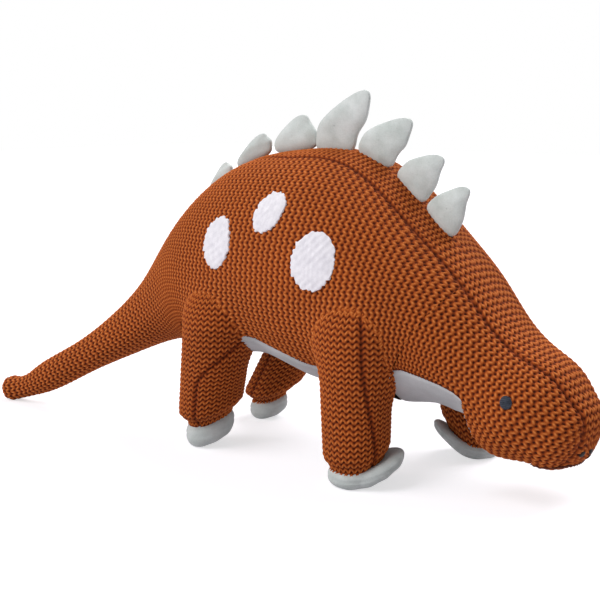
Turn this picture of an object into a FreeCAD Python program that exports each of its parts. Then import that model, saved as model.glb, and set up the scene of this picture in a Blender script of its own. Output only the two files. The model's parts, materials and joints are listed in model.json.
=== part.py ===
import FreeCAD, Part
from math import atan2, cos, degrees, pi, radians, sin, tan
import os

# A stuffed plated dinosaur, knitted and filled with fibre wadding, standing on four padded feet.
# Millimetres. +X runs to the nose, +Y to the animal's left, +Z up. The origin is on the floor,
# under the middle of the toy. The tail bends to the animal's right and its tip lies on the floor.

V = FreeCAD.Vector
X, Y, Z = V(1, 0, 0), V(0, 1, 0), V(0, 0, 1)

# Fabrics and play
KNIT_T = 1.6          # knitted cover
VELOUR_T = 1.0        # short-pile velour of the plates and feet, and jersey of the belly
PATCH_T = 1.0         # spots and embroidery stand this far out of the knit
STUFFING_PLAY = 0.3   # between a cover and the wadding in it
SWING_PLAY = 0.8      # round a leg in its socket, in the plane of its swing
SIDE_PLAY = 0.4       # between a leg and the flat inner wall of its socket
PLATE_PLAY = 0.4      # between the back and the rounded root of a plate

# Body, tail and head: sections along the spine from the tail tip to the nose.
# x, y, z of the middle; pitch and yaw in degrees; half width; height above; depth below
SPINE = [
    (-236, -48.0, 8.6, 0, 12, 1.5, 1.5, 1.5),
    (-233, -47.2, 8.6, 2, 12, 6.2, 6.2, 6.2),
    (-223, -45.0, 9.4, 8, 12, 8.7, 8.7, 8.7),
    (-197, -39.5, 19.5, 20, 13, 10.8, 10.8, 10.8),
    (-162, -30.0, 38, 28, 16, 13.2, 12.8, 11.5),
    (-127, -18.0, 58, 32, 18, 20, 18.5, 14.5),
    (-92, -7.0, 80, 30, 12, 32, 29, 23),
    (-52, -1.0, 101, 18, 4, 51, 52, 41.5),
    (-12, 0, 112, 7, 0, 61, 73, 50),
    (33, 0, 115, 0, 0, 67, 81, 58),
    (73, 0, 111, -8, 0, 69, 80, 62),
    (108, 0, 101, -20, 0, 65, 58.5, 49),
    (136, 0, 88, -30, 0, 55, 46, 40),
    (158, 0, 75, -34, 0, 46, 37, 33),
    (178, 0, 62, -35, 0, 41, 34, 30),
    (200, 0, 48, -35, 0, 39, 34, 32),
    (218, 0, 37, -34, 0, 31, 28, 20),
    (231, 0, 31, -32, 0, 17, 15, 12),
    (236, 0, 28.5, -32, 0, 1.5, 1.5, 1.5),
]
ROUNDNESS = 2.15      # 2 is an ellipse, more is squarer
SECTION_POINTS = 12
ROUND = [2 * pi * k / SECTION_POINTS for k in range(SECTION_POINTS)]
TIP_RADIUS = 0.6      # least radius of a section that is inset

# Seams of the covers
GUSSET = [(-120, 4), (-92, 6), (-32, 8), (33, 25), (108, 25), (158, 22), (200, 20), (228, 14), (245, 8)]
GUSSET_FLOOR = 100    # the back gussets lie above this height
CHIN_SEAM = [(120, 64), (220, 24), (260, 12)]           # x, z: the face gusset lies above this line
BELLY_SEAM = [(-110, 62), (-72, 75), (8, 84), (45, 74), (72, 67), (138, 72), (172, 62)]     # x, z

BELLY_LOW = 48        # the lowest height of the torso between the legs

# Neck and tail root, where the stuffed body bends; the ranges set the free wedges
NECK = V(158, 0, 75)
NECK_PITCH = -34
NECK_DOWN = 10        # degrees of nod downwards
NECK_UP = 14          # degrees of nod upwards
TAIL_ROOT = V(-97, -8, 77)
TAIL_YAW = 14
TAIL_WAG = 20         # degrees to each side
BEND_GAP = 3.0        # free length of the sleeve at the hinge line
SLEEVE_PLAY = 0.3
BEND_REACH = 62       # the bend zones reach past the cover on all sides

# Legs: x and z of the shoulder or hip, and x and y of the middle of the foot
SHOULDER = (107, 88)
HIP = (-14, 84)
LEG_Y_TOP = 52
LEG_R_TOP = 23        # along X at the hinge
LEG_R_FOOT = 19
LEG_HALF_TOP = 22     # along Y
LEG_HALF_FOOT = 19
LEG_SWING = 12        # degrees each way
FEET = {
    "front_right": (SHOULDER, 108, -50),
    "front_left": (SHOULDER, 126, 49),
    "rear_right": (HIP, -19, -45),
    "rear_left": (HIP, -36, 43),
}

# Foot pads
PAD_LENGTH = 50
PAD_WIDTH = 44
PAD_HEIGHT = 12
PAD_EDGE = 4          # rounding of the rim

# Plates along the crest: x of the root's rear end, root length, height, forward place of the tip
PLATES = [
    (-56.5, 24, 9.5, 21),
    (-31, 31, 12, 27),
    (1, 33, 19, 27),
    (35.8, 29, 33, 41),
    (68.5, 27, 28, 28),
    (98.5, 25, 27.5, 18.5),
    (120.5, 25, 25.5, 13),
]
PLATE_THICK = 5
PLATE_SEAT = 0.8      # share of the root length over which a plate lines up with the crest
CREST_SAMPLES = 8     # places along a root where the height of the crest is read

# Outline of a plate from the rear of its root over the tip to the front, as shares of
# the root length, the forward place of the tip, the height, and the inset
LEAF = [
    (0, 0, 0, 1),
    (0.05, 0, 0.36, 1),
    (0, 0.54, 0.74, 0.5),
    (-0.10, 1, 0.985, 0),
    (0.04, 1, 0.97, 0),
    (0.62, 0.4, 0.55, -1),
    (1.03, 0, 0.24, -1),
    (1, 0, 0, -1),
]

# Spots: x, z of the middle, length, height, tilt in degrees
SPOTS = [(4, 138, 25, 32, 4), (45, 159.5, 23, 24, -35), (85, 133, 30, 34, 10)]
EYE = (201, 62, 6.2, 8.5, 12)
NOSTRIL_Y = 3.5
NOSTRIL_Z = 33
NOSTRIL_R = 1.6
NOSTRIL_FROM_X = 215
MOUTH_Z = 24
MOUTH_HALF = 15
MOUTH_FROM_X = 195
THREAD = 1.2

FAR = 300             # longer than any cut needs

parts = {}
hinges = {}


def lerp(table, x, column):
    """Value of a column of a table that is sorted by x, between its rows."""
    rows = sorted(table)
    for low, high in zip(rows, rows[1:]):
        if x <= high[0]:
            break
    share = min(max((x - low[0]) / (high[0] - low[0]), 0), 1)
    return low[column] + (high[column] - low[column]) * share


def closed_curve(points):
    """Smooth closed outline through points."""
    curve = Part.BSplineCurve()
    curve.interpolate(points, True)
    return Part.Wire([curve.toShape()])


def prism(points, direction):
    """Solid swept from a polygon of points."""
    return Part.Face(Part.makePolygon(points + points[:1])).extrude(direction)


def axes_of(pitch, yaw):
    """Forward, left and upward directions of a section."""
    p, q = radians(pitch), radians(yaw)
    forward = V(cos(p) * cos(q), cos(p) * sin(q), sin(p))
    left = V(-sin(q), cos(q), 0)
    return forward, left, forward.cross(left)


def swell(value):
    """Superellipse coordinate from a sine or cosine."""
    return abs(value) ** (2 / ROUNDNESS) * (1 if value >= 0 else -1)


def section(station, inset, shift):
    """Closed smooth outline of the body at one station, made smaller by inset."""
    x, y, z, pitch, yaw, half, up, down = station
    forward, left, above = axes_of(pitch, yaw)
    centre = V(x, y, z) + forward * shift
    half, up, down = [max(size - inset, TIP_RADIUS) for size in (half, up, down)]
    points = []
    for angle in ROUND:
        rise = up if sin(angle) > 0 else down
        points.append(centre + left * half * swell(cos(angle)) + above * rise * swell(sin(angle)))
    return closed_curve(points)


def body_form(inset):
    """Whole body from tail tip to nose, made smaller all round by inset."""
    wires = []
    last = len(SPINE) - 1
    for k, station in enumerate(SPINE):
        shift = inset if k <= 1 else -inset if k >= last - 1 else 0
        wires.append(section(station, inset, shift))
    return Part.makeLoft(wires, True, False)


def bend_zone(centre, along, axis, half_gap, half_angle):
    """Bow-tie prism about a hinge line: the room that a bending sleeve takes up."""
    across = along.cross(axis)
    flare = half_gap + BEND_REACH * tan(radians(half_angle))
    outline = [(-half_gap, 0), (-flare, BEND_REACH), (flare, BEND_REACH),
               (half_gap, 0), (flare, -BEND_REACH), (-flare, -BEND_REACH)]
    points = [centre + along * a + across * h - axis * BEND_REACH for a, h in outline]
    return prism(points, axis * 2 * BEND_REACH)


def split_x(shape, zones):
    """Tail, torso and head of a body form, cut apart at the bend zones."""
    for zone in zones:
        shape = shape.cut(zone)
    return sorted(shape.Solids, key=lambda solid: solid.CenterOfMass.x)


def gusset_prism(sign, floor):
    """Region beside the centre line, between it and the gusset seam."""
    seam = [V(x, lerp(SPINE, x, 1) + sign * half, floor) for x, half in GUSSET]
    centre = [V(x, lerp(SPINE, x, 1), floor) for x, half in GUSSET]
    return prism(seam + centre[::-1], Z * FAR)


def below(seam):
    """Region under a seam line given as x, z points, across the whole width."""
    line = [V(x, -FAR / 2, z) for x, z in seam]
    return prism(line + [V(seam[-1][0], -FAR / 2, -FAR), V(seam[0][0], -FAR / 2, -FAR)], Y * FAR)


def left_region():
    """Everything on the left of the spine."""
    line = [V(x, y, -FAR) for x, y in [(-FAR, SPINE[0][1])] + [row[:2] for row in SPINE] + [(FAR, 0)]]
    return prism(line + [V(FAR, FAR, -FAR), V(-FAR, FAR, -FAR)], Z * 2 * FAR)


def main_solid(shape):
    """Largest piece of a cut cover, without the offcuts beyond its seams."""
    return max(shape.Solids, key=lambda solid: solid.Volume)


def sign_of(name):
    """Side of a part as the sign of its Y: right is less than zero."""
    return -1 if name.endswith("right") else 1


# ---- legs ----------------------------------------------------------------------------------
def leg_form(foot, inset, bottom):
    """Leg column with a barrel top that turns about its hinge."""
    (hinge_x, hinge_z), foot_x, foot_y = FEET[foot]
    top_y = sign_of(foot) * LEG_Y_TOP
    wires = []
    for z in (bottom, hinge_z, hinge_z + LEG_R_TOP):
        share = min((z - PAD_HEIGHT) / (hinge_z - PAD_HEIGHT), 1)
        middle = V(foot_x + (hinge_x - foot_x) * share, foot_y + (top_y - foot_y) * share, z)
        along = LEG_R_FOOT + (LEG_R_TOP - LEG_R_FOOT) * share - inset
        across = LEG_HALF_FOOT + (LEG_HALF_TOP - LEG_HALF_FOOT) * share - inset
        wires.append(closed_curve([middle + V(along * cos(a), across * sin(a), 0) for a in ROUND]))
    column = Part.makeLoft(wires, True, True)
    barrel = Part.makeCylinder(LEG_R_TOP - inset, 2 * FAR, V(hinge_x, -FAR, hinge_z), Y)
    lower = Part.makeBox(2 * FAR, 2 * FAR, FAR, V(-FAR, -FAR, hinge_z - FAR))
    return column.common(barrel.fuse(lower))


def socket(foot):
    """Room that the top of a leg sweeps in the side of the torso."""
    (hinge_x, hinge_z), foot_x, foot_y = FEET[foot]
    sign = sign_of(foot)
    share = (BELLY_LOW - PAD_HEIGHT) / (hinge_z - PAD_HEIGHT)
    slope = LEG_Y_TOP - LEG_HALF_TOP - abs(foot_y) + LEG_HALF_FOOT
    inner = sign * (abs(foot_y) - LEG_HALF_FOOT + min(slope * share, slope) - SIDE_PLAY)
    radius = LEG_R_TOP + SWING_PLAY
    centre = V(hinge_x, inner, hinge_z)
    room = Part.makeCylinder(radius, FAR, centre, Y * sign)
    lean = degrees(atan2(foot_x - hinge_x, hinge_z - PAD_HEIGHT))
    for angle in (lean - LEG_SWING, lean, lean + LEG_SWING):
        corner = V(hinge_x - radius, min(inner, inner + sign * FAR), hinge_z - FAR)
        slot = Part.makeBox(2 * radius, FAR, FAR, corner)
        slot.rotate(centre, Y, -angle)
        room = room.fuse(slot)
    return room


def build_leg(foot):
    """Panels, wadding and foot pad of one leg, and its hinge."""
    sign = sign_of(foot)
    (hinge_x, hinge_z), foot_x, foot_y = FEET[foot]
    outer = leg_form(foot, 0, PAD_HEIGHT)
    cover = outer.cut(leg_form(foot, KNIT_T, PAD_HEIGHT - KNIT_T))
    seam_y = (foot_y + sign * LEG_Y_TOP) / 2
    for face, where in (("outer", sign), ("inner", -sign)):
        half = Part.makeBox(2 * FAR, FAR, 2 * FAR, V(-FAR, seam_y if where > 0 else seam_y - FAR, -FAR))
        parts["leg_%s_%s_panel" % (foot, face)] = cover.common(half)
    parts["leg_%s_stuffing" % foot] = leg_form(foot, KNIT_T + STUFFING_PLAY, PAD_HEIGHT + STUFFING_PLAY)
    parts["foot_%s_cover" % foot] = pad(foot_x, foot_y, 0).cut(pad(foot_x, foot_y, VELOUR_T))
    parts["foot_%s_wadding" % foot] = pad(foot_x, foot_y, VELOUR_T + STUFFING_PLAY)
    hinges["leg_" + foot] = (V(hinge_x, sign * LEG_Y_TOP, hinge_z), Y)


def pad(x, y, inset):
    """Oval cushion under a foot, with a rounded rim."""
    oval = Part.Ellipse(V(x, y, inset), PAD_LENGTH / 2 - inset, PAD_WIDTH / 2 - inset)
    solid = Part.Face(Part.Wire([oval.toShape()])).extrude(Z * (PAD_HEIGHT - 2 * inset))
    rim = [edge for edge in solid.Edges if not isinstance(edge.Curve, Part.Line)]
    return solid.makeFillet(min(PAD_EDGE, PAD_HEIGHT / 3) - inset / 2, rim)


# ---- plates --------------------------------------------------------------------------------
def crest_point(x):
    """Highest point of the cover on the middle plane at x."""
    upright = body_slice.common(Part.makeLine(V(x, 0, 0), V(x, 0, FAR)))
    return V(x, 0, upright.BoundBox.ZMax)


def leaf(length, height, tip, inset):
    """Outline of a plate from its root line: a leaf that leans forward, with a rounded tip."""
    rise = height - inset
    return [V(a * length + b * tip + d * inset, 0, c * rise) for a, b, c, d in LEAF]


def plate_form(length, height, tip, inset):
    """Flat leaf with its root rounded about the hinge line, in its own frame: U along, W up."""
    half = PLATE_THICK / 2 - inset
    curve = Part.BSplineCurve()
    outline = leaf(length, height, tip, inset)
    curve.interpolate(outline)
    root = Part.makeLine(outline[-1], outline[0])
    face = Part.Face(Part.Wire([curve.toShape(), root]))
    blade = face.extrude(Y * 2 * half)
    blade.translate(Y * -half)
    roll = Part.makeCylinder(half, length - 2 * inset, V(inset, 0, 0), X)
    return blade.fuse(roll).removeSplitter()


def build_plate(number, start_x, length, height, tip):
    """Cover and wadding of one plate, seated on the crest, and its hinge."""
    rear = crest_point(start_x)
    front = crest_point(start_x + length * PLATE_SEAT)
    along = (front - rear).normalize()
    samples = [crest_point(start_x + length * k / CREST_SAMPLES) for k in range(CREST_SAMPLES + 1)]
    normal = along.cross(Y) * -1 if along.cross(Y).z < 0 else along.cross(Y)
    lift = max((point - rear).dot(normal) for point in samples) + PLATE_THICK / 2 + PLATE_PLAY
    root = rear + normal * lift
    turn = FreeCAD.Rotation(along, normal.cross(along), normal, "XYZ")
    place = FreeCAD.Placement(root, turn)
    inner = plate_form(length, height, tip, VELOUR_T)
    wadding = plate_form(length, height, tip, VELOUR_T + STUFFING_PLAY)
    cover = plate_form(length, height, tip, 0).cut(inner)
    for name, shape in (("cover", cover), ("wadding", wadding)):
        shape.Placement = place.multiply(shape.Placement)
        parts["plate_%d_%s" % (number, name)] = shape
    hinges["plate_%d" % number] = (root, along)


# ---- body, tail and head -------------------------------------------------------------------
def oval_prism(x, z, length, height, tilt, sign):
    """Oval prism along Y, from the middle plane outwards."""
    ring = closed_curve([V(length / 2 * cos(a), 0, height / 2 * sin(a)) for a in ROUND])
    solid = Part.Face(ring).extrude(Y * sign * FAR)
    solid.rotate(V(0, 0, 0), Y, tilt)
    solid.translate(V(x, 0, z))
    return solid


def patch(region):
    """Thin layer that lies on the cover inside a region."""
    return region.common(patch_form).cut(body)


body = body_form(0)
cover = body.cut(body_form(KNIT_T))
stuffing = body_form(KNIT_T + STUFFING_PLAY)
patch_form = body_form(-PATCH_T)
corners = [V(-FAR, 0, -FAR), V(FAR, 0, -FAR), V(FAR, 0, FAR), V(-FAR, 0, FAR)]
body_slice = body.common(Part.Face(Part.makePolygon(corners + corners[:1])))

neck_along = axes_of(NECK_PITCH, 0)[0]
tail_along = axes_of(0, TAIL_YAW)[0]
neck_half = max(NECK_UP, NECK_DOWN) / 2
neck_zone = bend_zone(NECK, neck_along, Y, BEND_GAP / 2, neck_half)
tail_zone = bend_zone(TAIL_ROOT, tail_along, Z, BEND_GAP / 2, TAIL_WAG / 2)
sleeve_half = BEND_GAP / 2 - SLEEVE_PLAY
parts["neck_sleeve"] = cover.common(bend_zone(NECK, neck_along, Y, sleeve_half, neck_half))
parts["tail_sleeve"] = cover.common(bend_zone(TAIL_ROOT, tail_along, Z, sleeve_half, TAIL_WAG / 2))
hinges["head"] = (NECK, Y)
hinges["tail"] = (TAIL_ROOT, Z)

tail_cover, torso_cover, head_cover = split_x(cover, (neck_zone, tail_zone))
parts["tail_stuffing"], torso_stuffing, parts["head_stuffing"] = split_x(stuffing, (neck_zone, tail_zone))

for foot in FEET:
    build_leg(foot)
    torso_cover = torso_cover.cut(socket(foot))
    torso_stuffing = torso_stuffing.cut(socket(foot))
parts["torso_stuffing"] = torso_stuffing

under = below(BELLY_SEAM)
parts["belly_panel"] = main_solid(torso_cover.common(under))
flanks = torso_cover.cut(under)
face_region = gusset_prism(-1, -FAR / 2).fuse(gusset_prism(1, -FAR / 2)).cut(below(CHIN_SEAM))
parts["face_gusset"] = head_cover.common(face_region)
cheeks = head_cover.cut(face_region)
left = left_region()

for side, sign in (("right", -1), ("left", 1)):
    region = gusset_prism(sign, GUSSET_FLOOR)
    parts["back_gusset_" + side] = flanks.common(region)
    sides = {"torso_side_": flanks.cut(region), "head_side_": cheeks, "tail_cover_": tail_cover}
    for name, shape in sides.items():
        parts[name + side] = main_solid(shape.common(left) if sign > 0 else shape.cut(left))
    for number, spot in enumerate(SPOTS, 1):
        parts["spot_%s_%d" % (side, number)] = patch(oval_prism(*spot, sign))
    parts["eye_" + side] = patch(oval_prism(*EYE, sign))

dots = [Part.makeCylinder(NOSTRIL_R, FAR, V(NOSTRIL_FROM_X, y, NOSTRIL_Z), X) for y in (-NOSTRIL_Y, NOSTRIL_Y)]
parts["nostrils"] = patch(dots[0].fuse(dots[1]))
mouth_band = Part.makeBox(FAR, 2 * MOUTH_HALF, THREAD, V(MOUTH_FROM_X, -MOUTH_HALF, MOUTH_Z - THREAD / 2))
parts["mouth_stitch"] = patch(mouth_band)

for number, plate in enumerate(PLATES, 1):
    build_plate(number, *plate)

# ---- write ---------------------------------------------------------------------------------
os.makedirs("parts", exist_ok=True)
for name, shape in parts.items():
    shape.exportStep("parts/%s.step" % name)
    box = shape.BoundBox
    print("%-30s solids %d valid %s volume %9.1f  x %7.1f..%6.1f y %6.1f..%6.1f z %6.1f..%6.1f" % (
        name, len(shape.Solids), shape.isValid(), shape.Volume,
        box.XMin, box.XMax, box.YMin, box.YMax, box.ZMin, box.ZMax))
for name, (point, axis) in hinges.items():
    print("hinge %-18s at %8.3f %8.3f %8.3f axis %7.4f %7.4f %7.4f" % (
        name, point.x, point.y, point.z, axis.x, axis.y, axis.z))
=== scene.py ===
# %% [markdown]
# # A stuffed dinosaur in acrylic knit and velour
# The real toy is sewn from a few flat panels: an orange knit for the body, legs and tail, a pale jersey
# for the belly, and grey velour for the back plates and foot pads. Everything is filled with wadding.
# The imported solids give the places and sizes; this lesson dresses them.

# %% Load the frame
import json
import math
import bpy
import numpy as np
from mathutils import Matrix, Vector
from mathutils.bvhtree import BVHTree


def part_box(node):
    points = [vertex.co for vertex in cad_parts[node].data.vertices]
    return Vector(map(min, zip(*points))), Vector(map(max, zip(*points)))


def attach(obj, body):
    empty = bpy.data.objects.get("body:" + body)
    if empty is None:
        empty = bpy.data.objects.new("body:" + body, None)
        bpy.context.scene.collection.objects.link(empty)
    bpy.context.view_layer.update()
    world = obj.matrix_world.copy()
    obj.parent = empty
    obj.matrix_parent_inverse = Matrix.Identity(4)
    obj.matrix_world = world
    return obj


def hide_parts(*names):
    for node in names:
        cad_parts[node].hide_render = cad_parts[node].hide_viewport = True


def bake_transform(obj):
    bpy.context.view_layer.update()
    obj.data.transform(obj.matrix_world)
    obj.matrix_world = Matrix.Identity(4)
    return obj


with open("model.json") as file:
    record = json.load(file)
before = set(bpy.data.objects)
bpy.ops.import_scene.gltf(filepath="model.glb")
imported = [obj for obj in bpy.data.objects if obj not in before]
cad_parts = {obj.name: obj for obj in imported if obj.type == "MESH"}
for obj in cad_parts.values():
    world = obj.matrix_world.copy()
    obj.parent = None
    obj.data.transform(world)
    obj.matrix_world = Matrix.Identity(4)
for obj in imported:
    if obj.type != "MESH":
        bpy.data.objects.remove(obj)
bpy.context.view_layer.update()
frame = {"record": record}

joints = {joint["name"]: joint for joint in frame["record"]["behaviour"]["joints"]}
MM = 0.001

# %% [markdown]
# ## Colours and node helpers
# Colours are written as the eye knows them, in sRGB hex, and turned to linear light by one function.
# One small helper adds a shader node with its settings and links, so that each material reads like
# a recipe.


# %% Colour and node helpers
def linear(code, alpha=1.0):
    """Linear RGBA from an sRGB hex code."""
    channels = [int(code[k:k + 2], 16) / 255 for k in (1, 3, 5)]
    return tuple(c / 12.92 if c <= 0.04045 else ((c + 0.055) / 1.055) ** 2.4 for c in channels) + (alpha,)


def add(tree, kind, links=None, **values):
    """Add a node, set its sockets or properties, and link sockets given in links."""
    node = tree.nodes.new(kind)
    for name, value in values.items():
        if hasattr(node, name):
            setattr(node, name, value)
        else:
            node.inputs[name.replace("_", " ")].default_value = value
    for socket, source in (links or {}).items():
        tree.links.new(source, node.inputs[socket])
    return node


def fabric(name, rough, sheen, sheen_tint, specular=0.25):
    """Start a cloth material: a matt Principled surface with a soft sheen from its loose fibres."""
    material = bpy.data.materials.new(name)
    material.use_nodes = True
    tree = material.node_tree
    shader = tree.nodes["Principled BSDF"]
    shader.inputs["Roughness"].default_value = rough
    shader.inputs["Sheen Weight"].default_value = sheen
    shader.inputs["Sheen Roughness"].default_value = 0.5
    shader.inputs["Sheen Tint"].default_value = linear(sheen_tint)
    shader.inputs["Specular IOR Level"].default_value = specular
    shader.inputs["IOR"].default_value = 1.5
    place = add(tree, "ShaderNodeTexCoord").outputs["Object"]
    return material, tree, shader, place


def set_ramp(ramp, stops):
    """Fill a colour ramp from (place, hex) pairs."""
    elements = ramp.color_ramp.elements
    while len(elements) < len(stops):
        elements.new(0.5)
    for element, (at, code) in zip(elements, stops):
        element.position = at
        element.color = linear(code)


print("mid grey in linear light: %.3f" % linear("#808080")[0])


# %% [markdown]
# ## Orange acrylic knit
# The body is a machine knit of soft acrylic yarn. Its ridges wave, and where two of them part a dark
# hole shows. The ridges are real geometry here, because they make the outline and the small shadows.
# Each vertex stores how high it lies on its ridge; from that the material paints shade into the hollows,
# where light hardly reaches, and a highlight onto the ridge tops. Yarn twist and stray fibres are a fine
# bump.

# %% Knit material
YARN_FUZZ_MM = 0.35       # stray fibres, drawn a little coarser than real to show
YARN_TINT_MM = 30         # slow change of dye and handling over the panels
FUZZ_SHARE = 0.22         # how much the stray fibres lighten and darken the yarn

knit, tree, shader, place = fabric("acrylic_knit_rust", 0.92, 0.06, "#E08040")
relief = add(tree, "ShaderNodeAttribute", attribute_name="relief").outputs["Fac"]
fuzz = add(tree, "ShaderNodeTexNoise", {"Vector": place}, Scale=1 / (YARN_FUZZ_MM * MM * 3), Detail=3.0)
tint = add(tree, "ShaderNodeTexNoise", {"Vector": place}, Scale=1 / (YARN_TINT_MM * MM), Detail=1.0)
uneven = add(tree, "ShaderNodeMath", {0: fuzz.outputs["Fac"]}, operation="MULTIPLY_ADD")
uneven.inputs[1].default_value = FUZZ_SHARE
tree.links.new(relief, uneven.inputs[2])
shifted = add(tree, "ShaderNodeMath", {0: uneven.outputs[0]}, operation="SUBTRACT")
shifted.inputs[1].default_value = FUZZ_SHARE / 2
# Painted light: the ramp turns the stored relief into painted shade in the hollows and a painted highlight
# on the ridge tops.
ramp = add(tree, "ShaderNodeValToRGB", {"Fac": shifted.outputs[0]})
set_ramp(ramp, [(0.0, "#350E01"), (0.3, "#642404"), (0.55, "#8E3D0C"),
                (0.8, "#B25B22"), (1.0, "#CC7B3C")])
dye = add(tree, "ShaderNodeHueSaturation", {"Color": ramp.outputs["Color"]})
level = add(tree, "ShaderNodeMapRange", {"Value": tint.outputs["Fac"]}, To_Min=0.9, To_Max=1.1)
tree.links.new(level.outputs["Result"], dye.inputs["Value"])
tree.links.new(dye.outputs["Color"], shader.inputs["Base Color"])
bump = add(tree, "ShaderNodeBump", {"Height": fuzz.outputs["Fac"]}, Strength=0.35, Distance=0.0003)
tree.links.new(bump.outputs["Normal"], shader.inputs["Normal"])
print("material", knit.name)

# %% [markdown]
# ## Grey velour, pale jersey, white terry and embroidery thread
# Velour is a cut pile under a millimetre high: it looks smooth, with cloudy patches where the pile was
# stroked, and a pale rim from its sheen. Jersey is a fine plain knit, much smoother than the body.
# Terry is a loose looped pile, so it is lumpy and almost shadowless. The eyes are satin stitch: a smooth
# thread laid side by side, with a faint gloss.


# %% Plain pile materials
GRAIN_SHARE = 0.35        # how much the fine grain adds to the cloudy patches
SATIN_ROUGHNESS = 0.5


def pile_cloth(name, low, high, cloud_mm, grain_mm, depth_mm, sheen):
    """A cloth with cloudy patches of two near colours and a fine grain."""
    material, tree, shader, place = fabric(name, 0.9, sheen, "#FFFFFF")
    cloud = add(tree, "ShaderNodeTexNoise", {"Vector": place}, Scale=1 / (cloud_mm * MM), Detail=3.0)
    grain = add(tree, "ShaderNodeTexNoise", {"Vector": place}, Scale=1 / (grain_mm * MM), Detail=2.0)
    mixed = add(tree, "ShaderNodeMath", {0: grain.outputs["Fac"]}, operation="MULTIPLY_ADD")
    mixed.inputs[1].default_value = GRAIN_SHARE
    tree.links.new(cloud.outputs["Fac"], mixed.inputs[2])
    ramp = add(tree, "ShaderNodeValToRGB", {"Fac": mixed.outputs[0]})
    set_ramp(ramp, [(0.42, low), (0.95, high)])
    tree.links.new(ramp.outputs["Color"], shader.inputs["Base Color"])
    bump = add(tree, "ShaderNodeBump", {"Height": grain.outputs["Fac"]},
               Strength=0.4, Distance=depth_mm * MM)
    tree.links.new(bump.outputs["Normal"], shader.inputs["Normal"])
    return material


# The pads get a darker copy of the plates' velour: painted shade for their low place under the body.
velour_pad_shaded = pile_cloth("polyester_velour_grey_pad_shaded", "#B2B9B7", "#CFD4D3", 12, 0.9, 0.35, 0.25)
velour = pile_cloth("polyester_velour_grey", "#B6BDB9", "#D6DBD9", 12, 0.9, 0.35, 0.35)
jersey = pile_cloth("cotton_jersey_pale", "#AEAFB1", "#C5C5C7", 18, 0.8, 0.2, 0.10)
terry = pile_cloth("cotton_terry_white", "#DAD7DE", "#EEEBF0", 4, 0.8, 0.5, 0.2)
thread_slate = pile_cloth("rayon_thread_slate", "#242A36", "#3A404D", 3, 0.5, 0.1, 0.1)
thread_dark = pile_cloth("rayon_thread_dark", "#160E0C", "#2A1A16", 3, 0.5, 0.1, 0.1)
thread_rust = pile_cloth("cotton_thread_rust", "#5A2A1A", "#7A4330", 3, 0.5, 0.1, 0.1)
for glossy in (thread_slate, thread_dark):
    glossy.node_tree.nodes["Principled BSDF"].inputs["Roughness"].default_value = SATIN_ROUGHNESS
print("materials", len(bpy.data.materials))

# %% [markdown]
# ## The stuffed body as one smooth form
# The panels are cut flat, but wadding pulls them into one rounded form. That form is a row of squarish
# ovals along the spine, the same ones that the solids follow. A smooth curve is laid through each of
# their measures, and any point of the skin is then found from its place along the spine and its angle.

# %% Spine sections, in millimetres
# x, y, z of the middle; pitch and yaw in degrees; half width; height above; depth below
SPINE = np.array([
    (-236, -48.0, 8.6, 0, 12, 1.5, 1.5, 1.5),
    (-233, -47.2, 8.6, 2, 12, 6.2, 6.2, 6.2),
    (-223, -45.0, 9.4, 8, 12, 8.7, 8.7, 8.7),
    (-197, -39.5, 19.5, 20, 13, 10.8, 10.8, 10.8),
    (-162, -30.0, 38, 28, 16, 13.2, 12.8, 11.5),
    (-127, -18.0, 58, 32, 18, 20, 18.5, 14.5),
    (-92, -7.0, 80, 30, 12, 32, 29, 23),
    (-52, -1.0, 101, 18, 4, 51, 52, 41.5),
    (-12, 0, 112, 7, 0, 61, 73, 50),
    (33, 0, 115, 0, 0, 67, 81, 58),
    (73, 0, 111, -8, 0, 69, 80, 62),
    (108, 0, 101, -20, 0, 65, 58.5, 49),
    (136, 0, 88, -30, 0, 55, 46, 40),
    (158, 0, 75, -34, 0, 46, 37, 33),
    (178, 0, 62, -35, 0, 41, 34, 30),
    (200, 0, 48, -35, 0, 39, 34, 32),
    (216.5, 0, 37.5, -34, 0, 31, 28, 20),
    (228.5, 0, 31.5, -32, 0, 17, 15, 12),
    (233, 0, 29, -32, 0, 1.5, 1.5, 1.5),
])
ROUNDNESS = 2.15          # 2 is a true oval, more is squarer
LEAST_HALF = 0.8          # half size that the very ends of the skin keep


def spline(knots, values, at):
    """Natural cubic spline through values at knots, read at the places in at."""
    knots, values, at = (np.asarray(a, float) for a in (knots, values, at))
    step = np.diff(knots)
    count = len(knots)
    system = np.eye(count)
    right = np.zeros((count,) + values.shape[1:])
    slope = np.diff(values, axis=0) / step.reshape((-1,) + (1,) * (values.ndim - 1))
    for k in range(1, count - 1):
        system[k, k - 1:k + 2] = step[k - 1], 2 * (step[k - 1] + step[k]), step[k]
        right[k] = 6 * (slope[k] - slope[k - 1])
    bend = np.linalg.solve(system, right)
    k = np.clip(np.searchsorted(knots, at) - 1, 0, count - 2)
    shape = at.shape + (1,) * (values.ndim - 1)
    h = step[k].reshape(shape)
    a = ((knots[k + 1] - at) / step[k]).reshape(shape)
    b = 1 - a
    curve = (a ** 3 - a) * bend[k] + (b ** 3 - b) * bend[k + 1]
    return a * values[k] + b * values[k + 1] + curve * h * h / 6


spine_run = np.concatenate([[0], np.cumsum(np.linalg.norm(np.diff(SPINE[:, :3], axis=0), axis=1))])
SPINE_LENGTH = spine_run[-1]


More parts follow.
